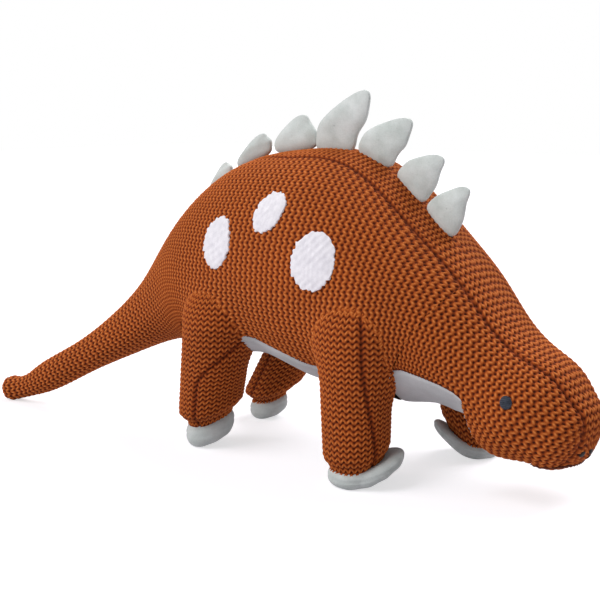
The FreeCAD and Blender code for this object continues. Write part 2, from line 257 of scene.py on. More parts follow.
def skin(run, angle):
    """Points of the smooth skin for places along the spine and angles round it; 90 degrees is the back."""
    row = spline(spine_run, SPINE, run)
    pitch, yaw = np.radians(row[..., 3]), np.radians(row[..., 4])
    zero = np.zeros_like(pitch)
    forward = np.stack([np.cos(pitch) * np.cos(yaw), np.cos(pitch) * np.sin(yaw), np.sin(pitch)], -1)
    left = np.stack([-np.sin(yaw), np.cos(yaw), zero], -1)
    above = np.cross(forward, left)
    c, s = np.cos(angle), np.sin(angle)
    power = 2 / ROUNDNESS
    across = np.maximum(row[..., 5], LEAST_HALF) * np.sign(c) * np.abs(c) ** power
    rise = np.where(s > 0, row[..., 6], row[..., 7])
    rise = np.maximum(rise, LEAST_HALF) * np.sign(s) * np.abs(s) ** power
    return row[..., :3] + left * across[..., None] + above * rise[..., None]


def run_at(x):
    """Place along the spine where its middle line is at x."""
    return float(np.interp(x, SPINE[:, 0], spine_run))


print("spine length %.0f mm" % SPINE_LENGTH)


# %% [markdown]
# ## Mesh building
# All the cloth here is built as grids of points. One function turns a grid into a mesh piece, with an
# optional mask of the faces to keep, so that neighbouring panels are cut from one grid and meet exactly.

# %% Grid to mesh
def grid_piece(name, points, keep=None, wrap=False, attributes=None, material=None, flip=False):
    """Mesh from a grid of points in mm, rows by columns; keep marks the faces that are used."""
    rows, columns = points.shape[:2]
    index = np.arange(rows * columns).reshape(rows, columns)
    if wrap:
        index = np.concatenate([index, index[:, :1]], axis=1)
    quads = np.stack([index[:-1, :-1], index[:-1, 1:], index[1:, 1:], index[1:, :-1]], -1)
    quads = quads[keep] if keep is not None else quads.reshape(-1, 4)
    if flip:
        quads = quads[:, ::-1]
    used, flat = np.unique(quads, return_inverse=True)
    mesh = bpy.data.meshes.new(name)
    mesh.vertices.add(len(used))
    mesh.vertices.foreach_set("co", (points.reshape(-1, 3)[used] * MM).astype(np.float32).ravel())
    mesh.loops.add(len(quads) * 4)
    mesh.loops.foreach_set("vertex_index", flat.astype(np.int32).ravel())
    mesh.polygons.add(len(quads))
    mesh.polygons.foreach_set("loop_start", np.arange(0, len(quads) * 4, 4, dtype=np.int32))
    mesh.polygons.foreach_set("use_smooth", np.ones(len(quads), bool))
    mesh.update(calc_edges=True)
    for key, values in (attributes or {}).items():
        layer = mesh.attributes.new(key, "FLOAT", "POINT")
        layer.data.foreach_set("value", values.reshape(-1)[used].astype(np.float32))
    piece = bpy.data.objects.new(name, mesh)
    bpy.context.scene.collection.objects.link(piece)
    if material:
        mesh.materials.append(material)
    return piece


def grid_normals(points, wrap):
    """Outward normals of a grid whose columns go round and rows go along."""
    around = np.roll(points, -1, 1) - np.roll(points, 1, 1) if wrap else np.gradient(points, axis=1)
    normal = np.cross(around, np.gradient(points, axis=0))
    return normal / np.maximum(np.linalg.norm(normal, axis=2, keepdims=True), 1e-9)


# %% [markdown]
# ## The waving ridges
# Seen close, the knit is a row of ridges about 4.5 mm apart. Each one waves once per stitch, and all of
# them wave together. Ridges are looped into each other along the slanted runs, so the hollow between
# two of them stays open only at the bends, as a chain of small dark pits.
# The height of the cloth at a point is the height of the nearest rounded ridge.

# %% Knit relief
RIDGE_MM = 4.5
STITCH_MM = 4.7
BRIDGE = 0.50             # height of the yarn where one ridge is looped into the next
WAVE = 0.19               # sideways swing of a ridge, in ridges
YARN_HALF = 0.38          # half width of a ridge, in ridges
RELIEF_MM = 1.3           # from the bottom of a hollow to the top of a ridge
LOOP_MEAN, LOOP_SWING = 0.86, 0.14      # height of a ridge along one stitch
SMOOTH_LEVEL = 0.8        # relief that lies level with the smooth form
# SEAM_SHADE is painted shade: it darkens the knit colour in the seam grooves, over their real depth.
SEAM_SHADE = 0.55         # how much of the relief's light a seam takes


def wobble(points, size_mm, seed):
    """Slow irregular shift from a few sine waves, for hand-guided cloth that is never quite even."""
    draw = np.random.default_rng(seed)
    total = 0
    for _ in range(5):
        direction = draw.normal(size=3)
        direction *= 2 * math.pi / size_mm * draw.uniform(0.6, 1.6) / np.linalg.norm(direction)
        total = total + np.sin(points @ direction + draw.uniform(0, 2 * math.pi))
    return total / 5


def wander(value, points, waves):
    """Distances in mm with slow shifts added: the amount, the size in mm and the seed of each."""
    for amount, size_mm, seed in waves:
        value = value + amount * wobble(points, size_mm, seed)
    return value


def knit_height(along, around, wave=WAVE, looped=BRIDGE):
    """Relief from 0 to 1 for distances in mm across the ridges and along them."""
    phase = 2 * math.pi * around / STITCH_MM
    off_ridge = along / RIDGE_MM - wave * np.sin(phase)
    distance = np.abs((off_ridge + 0.5) % 1 - 0.5) / YARN_HALF
    loop = LOOP_MEAN + LOOP_SWING * np.cos(2 * phase)
    bridge = looped * np.cos(phase) ** 2
    return np.maximum(np.sqrt(np.maximum(1 - distance ** 2, 0)) * loop, bridge)


def seam_dip(distance, width=1.2):
    """Groove depth from 0 to 1 near a seam, for a distance in mm."""
    return np.exp(-(distance / width) ** 2)


print("ridge %.1f mm, stitch %.1f mm" % (RIDGE_MM, STITCH_MM))

# %% [markdown]
# ## Seam lines of the body
# A stuffed toy is drawn by its seams. The back has a pair of gussets that meet in the centre seam where
# the plates stand, and widen towards the neck. The pale belly panel climbs the flanks. The face has a
# gusset of its own down to the snout. Each seam pulls the cloth in, so it shows as a thin groove.

# %% Seams, in millimetres
GUSSET_X = (-120, -92, -32, 33, 108, 158, 200, 228, 245)
GUSSET_HALF = (4, 6, 8, 25, 25, 22, 20, 14, 8)
BELLY_X = (-66, -48, 8, 45, 72, 138, 149, 160, 168, 173, 174.5, 176)
BELLY_Z = (48, 78, 84, 74, 67, 73, 70, 66.5, 63, 59.5, 41, 0)
# The jersey sags ahead of the front legs and is drawn up behind the chin
THROAT_X = (88, 105, 125, 142, 157, 168, 176)
THROAT_LIFT = (0, -4, -6.3, 0, 3.5, 8.6, 12)
CHIN_X = (120, 220, 260)
CHIN_Z = (64, 24, 12)
SEAM_DEPTH = 0.9
GRID_MM = 0.62
print("mesh spacing %.2f mm" % GRID_MM)

# %% [markdown]
# ## Legs as rounded columns
# Each leg is a stuffed tube whose top ends in a dome under the flank. Near the dome the body swells a
# little, as wadding does where two stuffed parts are sewn together, so the leg grows out of the side.

# %% Leg sizes in millimetres, and places from the frame
LEG_TOP_RADIUS = (22.6, 21.6)      # along X and along Y
LEG_FOOT_RADIUS = {"front": 20, "rear": 21.3}
LEG_MIDDLE_Y = 52
SWELL_MM = 15             # how near another form starts to push the cloth out
# How far each top leans forward, and how far each foot stands from its solid along X and Y
TOP_SHIFT = {"front_right": 0, "front_left": 2, "rear_right": 9, "rear_left": 8}
FOOT_SHIFT = {"front_right": (-1, 0), "front_left": (0, 0),
              "rear_right": (-3, 3), "rear_left": (-5, -4)}
legs = {}
for foot in ("front_right", "front_left", "rear_right", "rear_left"):
    low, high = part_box("foot_%s_cover" % foot)
    hinge = joints["leg_swing_" + foot]["pos_m"]
    sign = -1 if foot.endswith("right") else 1
    legs[foot] = {
        "sign": sign,
        "foot_radius": LEG_FOOT_RADIUS[foot.split("_")[0]],
        "hinge": np.array([hinge[0] / MM + TOP_SHIFT[foot], sign * LEG_MIDDLE_Y, hinge[2] / MM]),
        "foot": np.array([(low[0] + high[0]) / 2 / MM + FOOT_SHIFT[foot][0],
                          (low[1] + high[1]) / 2 / MM + FOOT_SHIFT[foot][1], high[2] / MM]),
    }


def leg_frame(leg, z):
    """Middle and half sizes of a leg at heights z."""
    share = np.clip((z - leg["foot"][2]) / (leg["hinge"][2] - leg["foot"][2]), 0, 1)
    middle = [leg["foot"][k] + (leg["hinge"][k] - leg["foot"][k]) * share for k in (0, 1)]
    half = [leg["foot_radius"] + (LEG_TOP_RADIUS[k] - leg["foot_radius"]) * share for k in (0, 1)]
    return middle, half


# For each pad: direction of the raised side in degrees, where the rise starts and its slope, half size,
# thickness, and how far the raised side reaches out
PADS = {"front_right": (38, 4, 0.52, 17.5, 11, 11), "front_left": (218, 4, 0.72, 17.5, 9.5, 8),
        "rear_right": (42, -6, 0.44, 16.0, 16, 0), "rear_left": (38, -2, 0.40, 13.5, 13, 0)}
BEND_SOFT = 3.0           # mm over which a rise begins


def pad_rise(foot, x, y):
    """Height in mm by which a sole is lifted at a place, where its rim curls or the foot tilts."""
    direction, start, slope = PADS[foot][:3]
    turn = math.radians(direction)
    along = (x - legs[foot]["foot"][0]) * math.cos(turn) + (y - legs[foot]["foot"][1]) * math.sin(turn)
    return slope * BEND_SOFT * np.log1p(np.exp(np.clip((along - start) / BEND_SOFT, -20, 20)))


def leg_distance(points):
    """Distance in mm from the nearest leg's surface, less than zero inside it."""
    nearest = np.full(points.shape[:-1], 1e3)
    for leg in legs.values():
        (mx, my), (hx, hy) = leg_frame(leg, points[..., 2])
        over = np.maximum(points[..., 2] - leg["hinge"][2], 0) / LEG_TOP_RADIUS[0]
        reach = np.sqrt(((points[..., 0] - mx) / hx) ** 2 + ((points[..., 1] - my) / hy) ** 2 + over ** 2)
        nearest = np.minimum(nearest, (reach - 1) * LEG_TOP_RADIUS[0])
    return nearest


def body_distance(points):
    """Distance in mm from the smooth body, less than zero inside it."""
    run = np.interp(points[..., 0], SPINE[:, 0], spine_run)
    for _ in range(4):
        row = spline(spine_run, SPINE, run)
        pitch, yaw = np.radians(row[..., 3]), np.radians(row[..., 4])
        forward = np.stack([np.cos(pitch) * np.cos(yaw), np.cos(pitch) * np.sin(yaw), np.sin(pitch)], -1)
        run = run + 0.7 * ((points - row[..., :3]) * forward).sum(-1)
    left = np.stack([-np.sin(yaw), np.cos(yaw), 0 * yaw], -1)
    offset = points - row[..., :3]
    across = (offset * left).sum(-1)
    rise = (offset * np.cross(forward, left)).sum(-1)
    half, tall = row[..., 5], np.where(rise > 0, row[..., 6], row[..., 7])
    reach = (np.abs(across / half) ** ROUNDNESS + np.abs(rise / tall) ** ROUNDNESS) ** (1 / ROUNDNESS)
    return (reach - 1) * np.minimum(half, tall)


def swell(distance):
    """Outward push in mm where two stuffed forms meet, for the distance to the other form."""
    return SWELL_MM / 4 * np.maximum(1 - np.abs(distance) / SWELL_MM, 0) ** 2


print("feet:", {name: leg["foot"].round(1).tolist() for name, leg in legs.items()})

# %% [markdown]
# ## Knitting the body
# The skin is laid out in three stretches, tail, torso and head, each a grid as fine as the yarn needs.
# On every grid the panels get their own knit: across the gussets the ridges run from side to side, and
# on the flanks they hang down. The relief is then pushed in along the seams.


# %% Panels of one stretch
def ease(value, low, high):
    """Smooth step from 0 at low to 1 at high."""
    t = np.clip((value - low) / (high - low), 0, 1)
    return t * t * (3 - 2 * t)


BACK_TIGHT = 1.15         # the ridges of the back gussets lie this much closer
PANEL_TURN_X = (-75, -35, 118, 172)      # the ridges hang upright between the middle two


def ridge_turn(x):
    """Share of the spine's own slope that the ridges follow at x: all of it in the tail and the head."""
    rear_start, rear_end, front_start, front_end = PANEL_TURN_X
    return np.maximum(1 - ease(x, rear_start, rear_end), ease(x, front_start, front_end))


def ridge_place(points, run):
    """Spine distance of the ridge line that passes through each point."""
    for _ in range(8):
        row = spline(spine_run, SPINE, run)
        pitch = np.radians(row[..., 3]) * ridge_turn(row[..., 0])
        yaw = np.radians(row[..., 4])
        forward = np.stack([np.cos(pitch) * np.cos(yaw), np.cos(pitch) * np.sin(yaw), np.sin(pitch)], -1)
        run = run + 0.7 * ((points - row[..., :3]) * forward).sum(-1)
    return run


FLANK_ANGLE = math.radians(145)
line_run = np.linspace(0, SPINE_LENGTH, 400)
line = skin(line_run, FLANK_ANGLE)
line_place = ridge_place(line, line_run)
SNOUT_X = 196             # ahead of this the ridges wrap over the snout at an even pitch
HEAD_TIGHT = 0.15         # the ridges of the head lie this much closer
HEAD_TIGHT_X = (115, 165)      # and get there between these places
# Amount in mm, size in mm and seed of the shifts across the ridges and along them
BODY_ALONG = ((0.9, 70, 3), (0.4, 9, 4))
BODY_AROUND = ((0.9, 60, 5), (0.6, 12, 6))
line_pace = 1 + HEAD_TIGHT * ease(line[1:, 0], *HEAD_TIGHT_X)
line_length = np.concatenate([[0], np.cumsum(line_pace * np.linalg.norm(np.diff(line, axis=0), axis=1))])


def stretch(x_from, x_to, close_start=False, close_end=False):
    """Grid of skin points between two places, with panel masks, relief and shaded groove values."""
    start = 0 if close_start else run_at(x_from)
    end = SPINE_LENGTH if close_end else run_at(x_to)
    runs = np.linspace(start, end, int((end - start) / GRID_MM) + 1)
    widest = spline(spine_run, SPINE, runs)[:, 5:8].max()
    columns = int(2 * math.pi * widest * 1.02 / GRID_MM)
    angles = np.radians(-90 + 360 * np.arange(columns) / columns)
    run, angle = np.meshgrid(runs, angles, indexing="ij")
    points = skin(run, angle)
    rows = spline(spine_run, SPINE, runs)
    x, y, z = points[..., 0], points[..., 1], points[..., 2].copy()
    off_y = y - np.interp(x, SPINE[:, 0], SPINE[:, 1])
    over_chin = z > np.interp(x, CHIN_X, CHIN_Z)
    upper = np.where(x > 140, over_chin, np.sin(angle) > 0.3)
    gusset_gap = np.abs(off_y) - np.interp(x, GUSSET_X, GUSSET_HALF)
    belly_gap = z - np.interp(x, BELLY_X, BELLY_Z)
    if x_to > -80:
        belly = (belly_gap < 0) & (np.sin(angle) < 0.2) & (x < 176)
        gusset = upper & (gusset_gap < 0)
        groove = seam_dip(np.where(np.sin(angle) < 0.35, belly_gap, 99))
        groove = np.maximum(groove, seam_dip(np.where(upper, gusset_gap, 99)))
        middle = np.where(upper & (x < 150), off_y, np.where(~over_chin & (x > 150) & ~belly, off_y, 99))
    else:
        belly = np.zeros(x.shape, bool)
        gusset = belly
        groove = np.zeros(x.shape)
        middle = off_y
    groove = np.maximum(groove, 0.5 * seam_dip(middle, 1.0))
    drawn = np.clip(-belly_gap / 15, 0, 1) * belly
    points[..., 2] += np.interp(x, THROAT_X, THROAT_LIFT) * drawn
    normals = grid_normals(points, True)
    ring = np.linalg.norm(np.roll(points, -1, 1) - points, axis=2)
    top = columns // 2
    arc = np.cumsum(ring, axis=1)
    from_crest = np.abs(arc - arc[:, top:top + 1])
    beside = np.where(np.arange(columns) < top, columns // 4, 3 * columns // 4)
    from_side = np.abs(arc - np.take_along_axis(arc, np.broadcast_to(beside, arc.shape), 1))
    from_side = np.where(np.sin(angle) > 0, from_side, -from_side)
    crest = np.concatenate([[0], np.cumsum(np.linalg.norm(np.diff(points[:, top], axis=0), axis=1))])
    turn = ridge_turn(rows[:, 0])[:, None]
    tilt = np.cos(np.radians(rows[:, 3]))[:, None]
    climb = np.cumsum((1 - turn[:, 0]) * np.gradient(rows[:, 2]))[:, None]
    along = np.interp(ridge_place(points, run), line_place, line_length)
    across = from_side * (turn + (1 - turn) * tilt) + climb
    on_back = gusset & (x < 140)
    along = np.where(on_back, (crest[:, None] + start) * BACK_TIGHT, along)
    if close_end:
        travelled = np.cumsum(np.linalg.norm(np.diff(points, axis=0, prepend=points[:1]), axis=2), axis=0)
        bend = np.searchsorted(rows[:, 0], SNOUT_X)
        along[bend:] = along[bend] + travelled[bend:] - travelled[bend]
    along = wander(along, points, BODY_ALONG)
    around = wander(np.where(gusset, from_crest, across), points, BODY_AROUND)
    relief = knit_height(along, around)
    slim = ease(np.minimum(rows[:, 5], rows[:, 6]), 2, 8)[:, None]
    push = (relief - SMOOTH_LEVEL) * RELIEF_MM * slim - SEAM_DEPTH * groove
    push = np.where(belly, 0.25 * wobble(points, 16, 6) - SEAM_DEPTH * groove, push)
    if x_from > -100 and x_to < 150:
        push = push + swell(leg_distance(points))
    # Painted shade: the knit colour is darkened along the seam grooves.
    shaded = relief * (1 - SEAM_SHADE * groove)
    return {"points": points + normals * push[..., None], "relief": shaded, "belly": belly,
            "gusset": gusset, "off_y": off_y}


def faces(mask):
    """Face mask of a round grid from a point mask: a face goes with its first point."""
    return mask[:-1]


def panel(name, cloth, mask, material, slot, *nodes):
    """One panel of a stretch as a piece of its own."""
    piece = grid_piece(name, cloth["points"], faces(mask), True, {"relief": cloth["relief"]}, material)
    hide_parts(*nodes)
    return piece


# %% Torso
ROOT_X, NECK_X = -82, 140
torso = stretch(ROOT_X, NECK_X)
flank = ~torso["belly"] & ~torso["gusset"]
for side, on_side in (("right", torso["off_y"] < 0), ("left", torso["off_y"] >= 0)):
    for part, mask in (("torso_side", flank), ("back_gusset", torso["gusset"])):
        node = "%s_%s" % (part, side)
        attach(panel("knit_" + node, torso, mask & on_side, knit, "rust_knit", node), "torso")
piece = panel("jersey_belly", torso, torso["belly"], jersey, "pale_grey_jersey",
              "belly_panel", "torso_stuffing")
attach(piece, "torso")
print("torso grid", torso["relief"].shape)

# %% [markdown]
# The neck and the tail root are not joints of the real toy: the stuffed tube simply bends there. These
# panels are only baked in place where they are laid out; they are not made to follow a body.

# %% Tail and head
BEND_MARGIN_MM = 2        # offset past the station of a start point that bend works out but does not use


def bend(piece, body, station, sign):
    """Bake a panel's transform into its mesh; a point past a place on the spine is worked out but not used,
    so the panel does not bend.
    """
    row = spline(spine_run, SPINE, run_at(station))
    pitch, yaw = math.radians(row[3]), math.radians(row[4])
    way = sign * Vector((math.cos(pitch) * math.cos(yaw), math.cos(pitch) * math.sin(yaw), math.sin(pitch)))
    start = Vector(row[:3]) + way * BEND_MARGIN_MM
    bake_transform(piece)


tail = stretch(-240, ROOT_X, close_start=True)
for side, on_side in (("right", tail["off_y"] < 0), ("left", tail["off_y"] >= 0)):
    nodes = ["tail_cover_" + side] + (["tail_sleeve", "tail_stuffing"] if side == "right" else [])
    bend(panel("knit_tail_" + side, tail, on_side, knit, "rust_knit", *nodes), "tail", ROOT_X, -1)

head = stretch(NECK_X, 240, close_end=True)
cheek = ~head["belly"] & ~head["gusset"]
for side, on_side in (("right", head["off_y"] < 0), ("left", head["off_y"] >= 0)):
    piece = panel("knit_head_" + side, head, cheek & on_side, knit, "rust_knit", "head_side_" + side)
    bend(piece, "head", NECK_X, 1)
piece = panel("knit_face_gusset", head, head["gusset"], knit, "rust_knit", "face_gusset", "neck_sleeve")
bend(piece, "head", NECK_X, 1)
piece = panel("jersey_throat", head, head["belly"], jersey, "pale_grey_jersey", "head_stuffing")
bend(piece, "head", NECK_X, 1)
print("tail grid", tail["relief"].shape, "head grid", head["relief"].shape)

# %% [markdown]
# ## Knitted legs
# A leg is a tube of two panels, with a seam down the front and another down the back. The knit goes
# round it in rings. At the foot the tube is drawn in a little where it is sewn to the pad.

# %% Legs
LEG_TIGHT = 1.3           # the ridges of the legs lie this much closer
LEG_WAVE = 0.26
LEG_BRIDGE = 0.38
LEG_SEAM_MM = 1.4
LEG_AROUND = ((0.8, 40, 13), (0.6, 12, 14))
# Place of the leg seam: degrees from straight out at the top and at the foot, and heights of its bend
LEG_SEAM = {"front": (45, 72, 12, 84), "rear": (92, 12, 44, 84)}
for foot, leg in legs.items():
    sign = leg["sign"]
    foot_z, hinge_z = leg["foot"][2], leg["hinge"][2]
    thick = PADS[foot][4]
    straight = np.arange(thick - 2, hinge_z, GRID_MM)
    dome = np.arange(0, math.pi / 2 - 0.15, GRID_MM / LEG_TOP_RADIUS[0])
    z = np.concatenate([straight, hinge_z + LEG_TOP_RADIUS[0] * np.sin(dome)])
    narrow = np.concatenate([np.ones(len(straight)), np.cos(dome)])
    gather = 1.06 - PADS[foot][3] / leg["foot_radius"]
    drawn_in = 1 - gather * np.exp(-(np.maximum(z - thick, 0) / 4) ** 2)
    columns = int(2 * math.pi * LEG_TOP_RADIUS[0] / GRID_MM)
    angle = 2 * math.pi * np.arange(columns) / columns
    (mx, my), (hx, hy) = leg_frame(leg, z)
    scale = (narrow * drawn_in)[:, None]
    points = np.stack([mx[:, None] + hx[:, None] * scale * np.cos(angle),
                       my[:, None] + hy[:, None] * scale * np.sin(angle),
                       np.repeat(z[:, None], columns, 1)], -1)[:, ::-1]
    low_share = 1 - ease(z, foot_z, foot_z + 50)[:, None]
    points[..., 2] += low_share * pad_rise(foot, points[..., 0], points[..., 1])
    angle = angle[::-1]
    normals = -grid_normals(points, True)
    turned = 90 - np.degrees(angle) * sign
    turned = (turned + 180) % 360 - 180
    at_top, at_foot, bend_low, bend_high = LEG_SEAM[foot.split("_")[0]]
    seam = at_foot + (at_top - at_foot) * ease(z, bend_low, bend_high)[:, None]
    gap = (turned[None, :] - seam + 180) % 360 - 180
    back_gap = (gap + 360) % 360 - 180
    arc = np.radians(1) * LEG_TOP_RADIUS[0]
    groove = np.maximum(seam_dip(gap * arc, LEG_SEAM_MM), seam_dip(back_gap * arc, LEG_SEAM_MM))
    travelled = np.concatenate([straight - foot_z, hinge_z - foot_z + LEG_TOP_RADIUS[0] * dome])[:, None]
    along = wander(travelled, points, ((0.7, 40, 11 + len(foot)), (0.25, 9, 12)))
    around = wander(turned[None, :] * arc, points, LEG_AROUND)
    relief = knit_height(along * LEG_TIGHT, around, LEG_WAVE, LEG_BRIDGE)
    push = (relief - SMOOTH_LEVEL) * RELIEF_MM - SEAM_DEPTH * groove + swell(body_distance(points))
    points = points + normals * push[..., None]
    # Painted shade: the knit colour is darkened along the leg seams.
    shaded = relief * (1 - SEAM_SHADE * groove)
    outer = (gap < 0) & (gap > -180)
    for face, mask in (("outer", outer), ("inner", ~outer)):
        name = "leg_%s_%s_panel" % (foot, face)
        piece = grid_piece("knit_" + name, points, faces(mask), True, {"relief": shaded}, knit, flip=True)
        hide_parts(name, *(["leg_%s_stuffing" % foot] if face == "outer" else []))
        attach(piece, "leg_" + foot)
print("leg grid", relief.shape)

# %% [markdown]
# ## Foot pads
# Each foot is a flat cushion of grey velour, as wide as the drawn-in end of its leg, and its two layers
# meet in a rim seam. The front pads reach out on one side, where the free rim curls up. The rear pads
# are thicker and tilt. Both are a flat round grid whose points are lifted by one smooth rise.

# %% Foot pads
PAD_STEP = 0.9
RIM_SEAM_MM = 0.5
for foot, leg in legs.items():
    middle = leg["foot"]
    direction, _, _, half, thick, reach = PADS[foot]
    columns = int(2 * math.pi * half / PAD_STEP)
    angle = 2 * math.pi * np.arange(columns) / columns
    rim_turn = np.linspace(-math.pi / 2, math.pi / 2, 21)
    flat = np.linspace(0.01, 0.70, 22)
    radius = np.concatenate([flat, 0.72 + 0.28 * np.cos(rim_turn), flat[::-1]])[:, None]
    level = np.concatenate([-np.ones(22), np.sin(rim_turn), np.ones(22)])[:, None]
    toward = ease(np.cos(angle - math.radians(direction)), 0.1, 1)[None, :]
    seam = np.exp(-(level / 0.12) ** 2) * (radius > 0.9)
    grow = 1 + reach / half * toward - RIM_SEAM_MM / half * seam
    x = middle[0] + half * radius * grow * np.cos(angle)
    y = middle[1] + half * radius * grow * np.sin(angle)
    z = thick / 2 * (1 + level) + pad_rise(foot, x, y)
    points = np.stack([x, y, z], -1)
    pucker = 0.5 * wobble(points, 16, 21) * ease(radius, 0.5, 0.9)
    points = points + grid_normals(points, True) * pucker[..., None]
    points[..., 2] = np.maximum(points[..., 2], 0.02)
    # The pads use the darker copy of the velour, which carries painted shade.
    piece = grid_piece("velour_foot_" + foot, points, wrap=True, material=velour_pad_shaded)
    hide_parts("foot_%s_cover" % foot, "foot_%s_wadding" % foot)
    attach(piece, "leg_" + foot)
print("pads", list(PADS))

# %% [markdown]
# ## Back plates
# A plate is two leaf-shaped pieces of velour sewn together, turned and lightly filled, so it is fat in
# the middle and thin along its edge. Its root is caught in the centre seam of the back. The plates lean
# forward and grow from the tail to the shoulders.

# %% Plates
# Length of the root, height, and forward place of the tip, in mm
PLATES = [(24, 9.5, 21), (31, 12, 27), (35, 19, 24), (29, 33, 40),
          (27, 28, 28), (25, 27.5, 18.5), (25, 25.5, 13)]
PLATE_FAT = 8.5
PLATE_EDGE = 1.6
TIP_BOW = (0.5, -1.0, 1.5, -2.5, 2.0, -1.5, 1.0)      # how far each tip leans to a side, in mm
# Outline as shares of the root length, the forward place of the tip, and the height
LEAF = ((0.06, 0, -0.14), (-0.02, 0, 0.10), (0.02, 0.04, 0.36), (0, 0.36, 0.66), (-0.05, 0.80, 0.93),
        (0.02, 1.0, 1.0), (0.11, 1.0, 0.92), (0.25, 0.88, 0.72), (0.64, 0.50, 0.42),
        (0.95, 0.10, 0.14), (0.94, 0, -0.14))
LEAF_POINTS = 110


def smooth_loop(corners, count):
    """Points along a smooth closed curve through corners."""
    ring = np.concatenate([corners[-3:], corners, corners[:4]])
    leg_length = np.linalg.norm(np.diff(ring, axis=0), axis=1) ** 0.5
    knots = np.concatenate([[0], np.cumsum(leg_length)])
    at = np.linspace(knots[3], knots[3 + len(corners)], count, endpoint=False)
    return spline(knots, ring, at)


for number, (length, height, tip) in enumerate(PLATES, 1):
    joint = joints["plate_flop_%d" % number]
    start = np.array(joint["pos_m"]) / MM
    along = np.array(joint["axis"])
    upward = np.cross(along, [0, 1, 0])
    upward = upward if upward[2] > 0 else -upward
    corners = np.array([(a * length + b * tip, c * height) for a, b, c in LEAF])
    loop = smooth_loop(corners, LEAF_POINTS)
    centre = np.array([0.42 * length + 0.12 * tip, 0.34 * height])
    shrink = np.concatenate([np.linspace(0.02, 0.9, 22), [0.94, 0.97, 0.99, 1.0]])
    share = np.concatenate([shrink, shrink[-2::-1]])[:, None]
    facing = np.concatenate([-np.ones(len(shrink) - 1), [0], np.ones(len(shrink) - 1)])[:, None]
    flat = centre + share[..., None] * (loop - centre)
    u, v = flat[..., 0], flat[..., 1]
    slender = 1 - 0.45 * ease(v, 0.45 * height, height)
    dome = PLATE_EDGE / 2 + (PLATE_FAT / 2 - PLATE_EDGE / 2) * (1 - share ** 2.6) ** 0.7 * slender
    lean = TIP_BOW[number - 1] * ease(v, 0, height)
    w = facing * dome + lean + 0.3 * wobble(np.stack([u, v, 9 * facing + 0 * u], -1), 12, 30 + number)
    points = start + u[..., None] * along + v[..., None] * upward + w[..., None] * np.array([0, 1, 0])
    piece = grid_piece("velour_plate_%d" % number, points, wrap=True, material=velour, flip=True)
    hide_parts("plate_%d_cover" % number, "plate_%d_wadding" % number)
    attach(piece, "plate_%d" % number)
print("plates", len(PLATES))

# %% [markdown]
# ## Spots and embroidery
# The spots are cut from white terry and sewn flat on the flank, so their edges are a little ragged.
# The eyes are small ovals of satin stitch. Each is laid on the skin: a ray from the side finds the
# body's surface, and the patch is lifted just above the ridges.

# %% Patches on the skin
SKIN_ROWS, SKIN_COLUMNS = 260, 181
LOOK_FROM_MM = 60         # a patch is laid from this far outside its middle
TUCK_MM = 2.0             # depth of a patch's turned-in edge
sample = skin(*np.meshgrid(np.linspace(0, SPINE_LENGTH, SKIN_ROWS),
                           np.radians(np.linspace(-90, 270, SKIN_COLUMNS)), indexing="ij"))
corners = np.arange(SKIN_ROWS * SKIN_COLUMNS).reshape(SKIN_ROWS, SKIN_COLUMNS)
quads = np.stack([corners[:-1, :-1], corners[:-1, 1:], corners[1:, 1:], corners[1:, :-1]], -1)
skin_tree = BVHTree.FromPolygons([tuple(p) for p in sample.reshape(-1, 3)],
                                 [tuple(map(int, q)) for q in quads.reshape(-1, 4)])


def lay(origin, way):
    """Point and outward normal of the skin seen from origin along way, in mm."""
    point, normal, _, _ = skin_tree.ray_cast(Vector(origin), Vector(way))
    if point is None:
        point, normal, _, _ = skin_tree.find_nearest(Vector(origin) + Vector(way) * 150)
    if normal.dot(Vector(way)) > 0:
        normal = -normal
    return np.array(point), np.array(normal)


def patch(name, outline, middle, facing, height_at, material, body, nodes, step=1.0, tuft=0.0):
    """Raised patch: outline gives a radius in mm for an angle, height_at a lift for a share of it."""
    facing = np.array(facing, float)
    side = np.cross([0, 0, 1], facing)
    side = side / np.linalg.norm(side)
    columns = max(int(2 * math.pi * max(outline(a) for a in np.linspace(0, 6.28, 32)) / step), 20)
    angle = 2 * math.pi * np.arange(columns) / columns
    reach = np.array([outline(a) for a in angle])
    rings = max(int(reach.max() / step), 6)
    share = np.concatenate([np.linspace(0.004, 0.95, rings), [0.985, 1.0, 1.0]])
    upright = np.cross(facing, side)
    points = np.zeros((len(share), columns, 3))
    for i, s in enumerate(share):
        for j, a in enumerate(angle):
            flat = side * math.cos(a) * reach[j] * s + upright * math.sin(a) * reach[j] * s
            point, normal = lay(np.array(middle) + flat + facing * LOOK_FROM_MM, -facing)
            if i < len(share) - 1:
                lift = height_at(s, a) + tuft * wobble(point[None], 4, 61)[0]
            else:
                lift = -TUCK_MM
            points[i, j] = point + normal * lift
    piece = grid_piece(name, points, wrap=True, material=material, flip=True)
    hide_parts(*nodes)
    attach(piece, body)
    return piece


def middle_of(node):
    """Middle and half size of a node's box, in mm."""
    low, high = (np.array(corner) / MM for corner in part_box(node))
    return (low + high) / 2, (high - low) / 2


print("skin sampled at", len(corners.ravel()), "points")

# %% [markdown]
# Each spot is an oval with one soft point, as hand-cut pieces have, and its edge wavers by half a
# millimetre. The far side gets the same three, mirrored, because such a toy is cut in pairs.

# %% Spots
SPOT_LIFT = 1.5
TUFT_LIFT = 0.35
TEETH = 72                # places round the edge at which it wavers
RAGGED_MM = 0.5
SPOT_SIZE = 0.97
POINT_SPREAD = 0.2
